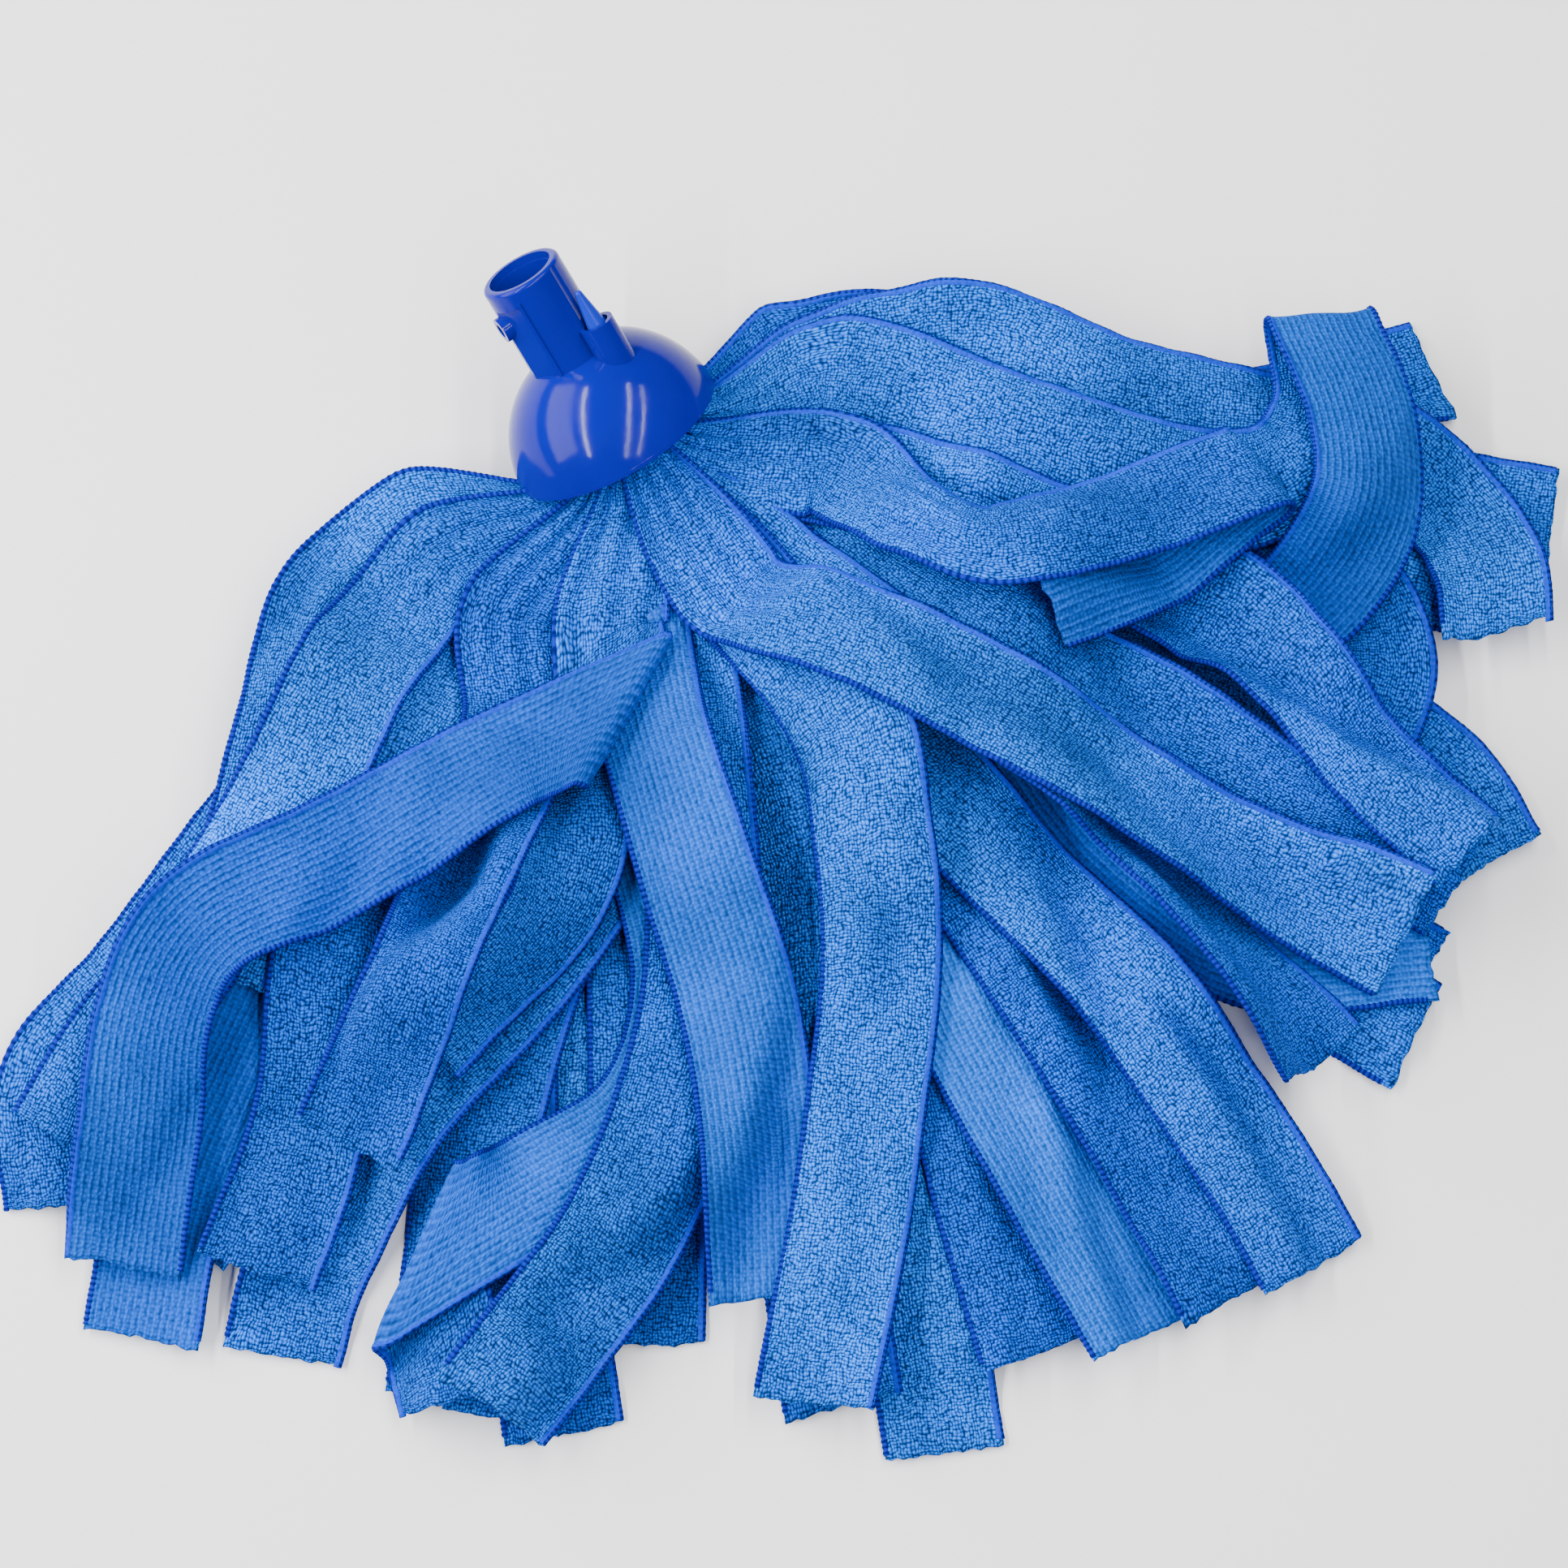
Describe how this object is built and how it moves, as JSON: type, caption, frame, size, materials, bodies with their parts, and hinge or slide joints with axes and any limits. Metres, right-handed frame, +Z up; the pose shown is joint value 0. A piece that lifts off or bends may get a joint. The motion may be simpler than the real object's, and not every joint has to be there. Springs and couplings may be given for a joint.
{
  "type": "strip mop head",
  "caption": "Mop head of wide microfibre strips gathered under a moulded dome, with a tilted socket for a round handle and a locking peg in a side holder.",
  "frame": {"origin": "middle of the whole head's outline, on the floor it lies on", "axes": "+Z up, +X along the longest spread of the strips, and +Y towards the side that the socket leans to"},
  "size_m": [0.5442, 0.4138, 0.0852],
  "materials": {
    "socket_plastic": "glossy moulded polypropylene, royal blue",
    "peg_plastic": "satin moulded polypropylene, lighter blue",
    "inner_plastic": "matte moulded polypropylene",
    "zinc_steel": "bright zinc plated",
    "band_fabric": "woven polyester tape",
    "strip_fabric": "terry microfibre on one face and a ribbed knit on the other, overlocked along both long edges"
  },
  "bodies": {
    "mop_head": {"socket_cap": "socket_plastic", "retaining_disc": "inner_plastic", "clamp_washer": "zinc_steel", "clamp_screw": "zinc_steel", "binding_band": "band_fabric", "strip_01": "strip_fabric", "strip_02": "strip_fabric", "strip_03": "strip_fabric", "strip_04": "strip_fabric", "strip_05": "strip_fabric", "strip_06": "strip_fabric", "strip_07": "strip_fabric", "strip_08": "strip_fabric", "strip_09": "strip_fabric", "strip_10": "strip_fabric", "strip_11": "strip_fabric", "strip_12": "strip_fabric", "strip_13": "strip_fabric", "strip_14": "strip_fabric", "strip_15": "strip_fabric", "strip_16": "strip_fabric", "strip_17": "strip_fabric", "strip_18": "strip_fabric", "strip_19": "strip_fabric", "strip_20": "strip_fabric", "strip_21": "strip_fabric", "strip_22": "strip_fabric", "strip_23": "strip_fabric", "strip_24": "strip_fabric", "strip_25": "strip_fabric", "strip_26": "strip_fabric", "strip_27": "strip_fabric", "strip_28": "strip_fabric", "strip_29": "strip_fabric", "strip_30": "strip_fabric", "strip_31": "strip_fabric", "strip_32": "strip_fabric", "strip_33": "strip_fabric", "strip_34": "strip_fabric", "strip_35": "strip_fabric", "strip_36": "strip_fabric", "strip_37": "strip_fabric", "strip_38": "strip_fabric", "strip_39": "strip_fabric", "strip_40": "strip_fabric", "strip_41": "strip_fabric", "strip_42": "strip_fabric", "strip_43": "strip_fabric", "strip_44": "strip_fabric", "strip_45": "strip_fabric", "strip_46": "strip_fabric", "strip_47": "strip_fabric", "strip_48": "strip_fabric", "strip_49": "strip_fabric", "strip_50": "strip_fabric", "strip_51": "strip_fabric"},
    "peg": {"locking_peg": "peg_plastic"}
  },
  "joints": [
    {"name": "peg_pull", "type": "slide", "parent": "mop_head", "child": "peg", "axis": [-0.461, 0.6118, 0.6428], "range_m": [0, 0.013]}
  ]
}
